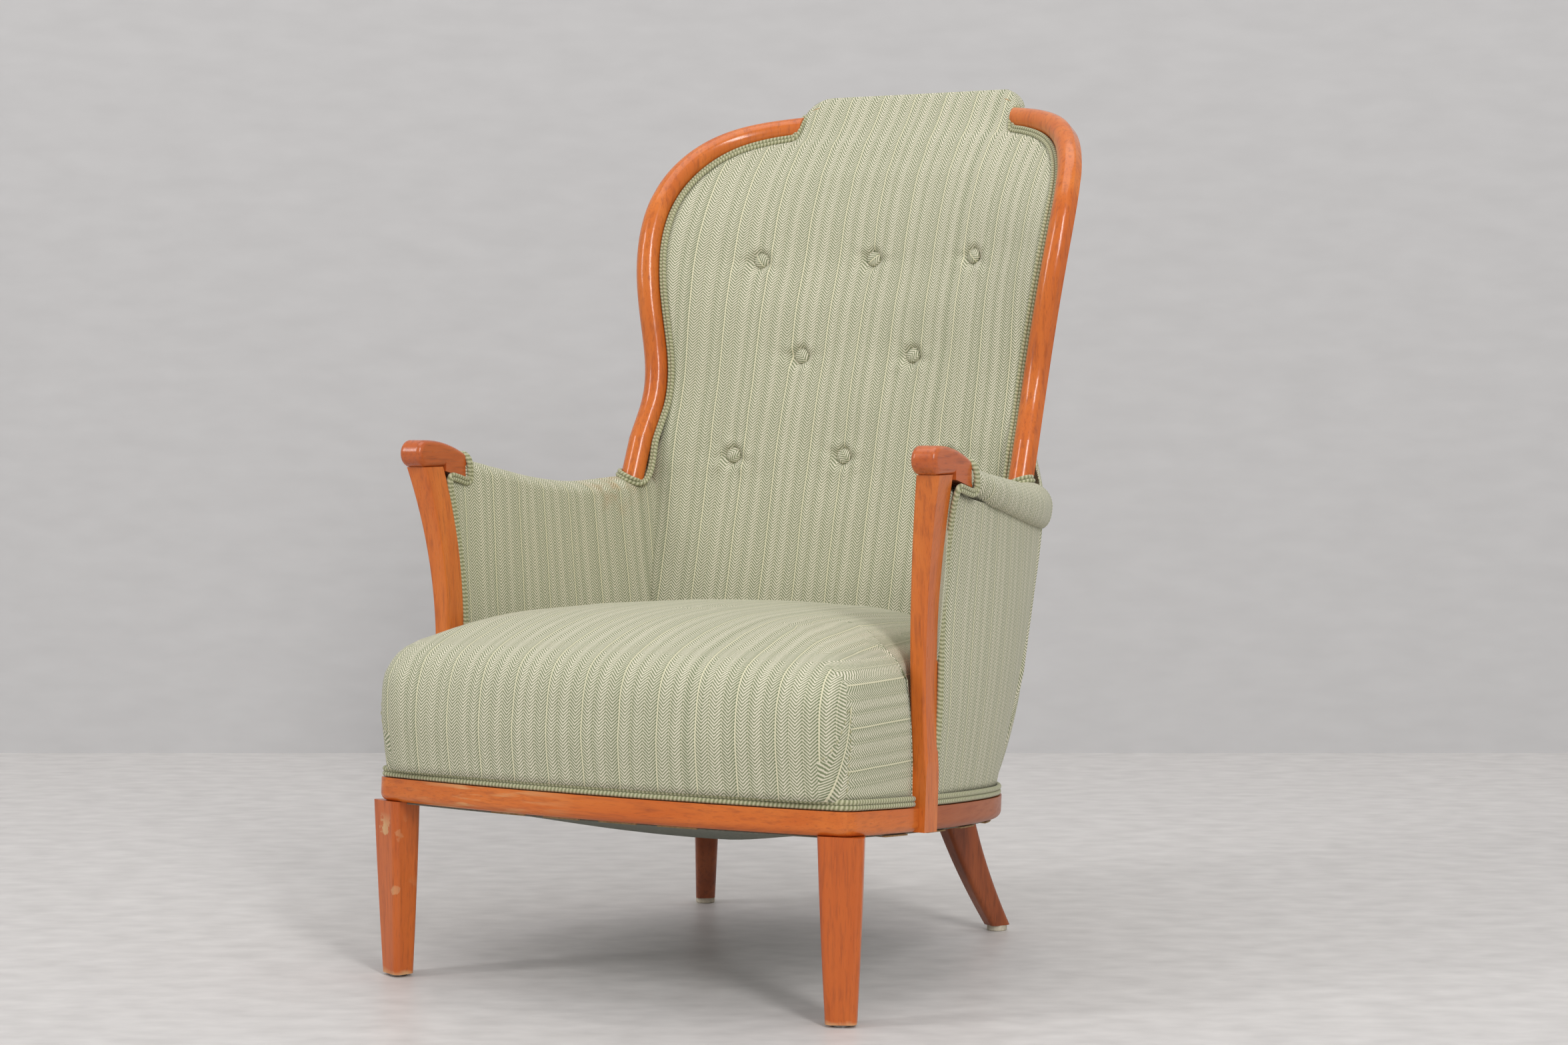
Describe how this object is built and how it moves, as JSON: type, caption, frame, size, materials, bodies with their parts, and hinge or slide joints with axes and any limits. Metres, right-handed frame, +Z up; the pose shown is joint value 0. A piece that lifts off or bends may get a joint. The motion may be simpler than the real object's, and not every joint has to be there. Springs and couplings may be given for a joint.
{
  "type": "upholstered armchair",
  "caption": "High-backed upholstered armchair with a polished wood frame, button-tufted inside back, rolled padded arms on wooden posts and a sprung seat on splayed legs.",
  "frame": {"origin": "on the floor under the middle of the bounding box", "axes": "+Z up, the chair faces -Y, +X to the right as seen from the front"},
  "size_m": [0.6994, 0.8355, 1.032],
  "materials": {
    "wood": "warm orange-brown glossy lacquer",
    "dark_wood": "darker red-brown glossy lacquer",
    "inner_wood": "raw hidden timber",
    "striped_cloth": "sage green and cream striped upholstery cloth",
    "padding": "cotton and hair padding",
    "piping": "double corded trim",
    "webbing": "jute webbing and hessian",
    "dust_cloth": "grey-green dust cloth",
    "spring_steel": "coppered spring wire and screws",
    "glide": "pale glides",
    "nail_glide": "nail glides"
  },
  "bodies": {
    "root": {"arm_cap_left": "dark_wood", "arm_cap_right": "dark_wood", "arm_cover_left": "striped_cloth", "arm_cover_right": "striped_cloth", "arm_padding_left": "padding", "arm_padding_right": "padding", "arm_post_left": "wood", "arm_post_right": "wood", "arm_rail_left": "inner_wood", "arm_rail_right": "inner_wood", "back_arch_left": "wood", "back_arch_right": "wood", "back_buttons": "striped_cloth", "back_cover": "striped_cloth", "back_hessian": "webbing", "back_padding": "padding", "back_piping_left": "piping", "back_piping_right": "piping", "back_rail": "dark_wood", "back_stile_left": "wood", "back_stile_right": "wood", "back_tack_rail": "inner_wood", "back_webbing": "webbing", "base_piping": "piping", "block_screws": "spring_steel", "corner_block_left": "inner_wood", "corner_block_right": "inner_wood", "crest_board": "inner_wood", "dust_cover": "dust_cloth", "frame_dowels": "inner_wood", "front_glides": "nail_glide", "front_leg_left": "wood", "front_leg_right": "wood", "front_rail": "wood", "outer_arm_left": "striped_cloth", "outer_arm_right": "striped_cloth", "outer_back": "striped_cloth", "rear_glides": "glide", "rear_leg_left": "wood", "rear_leg_right": "wood", "seat_cover": "striped_cloth", "seat_padding": "padding", "seat_piping": "piping", "seat_springs": "spring_steel", "seat_webbing": "webbing", "side_rail_left": "dark_wood", "side_rail_right": "dark_wood", "spring_hessian": "webbing"}
  },
  "joints": []
}
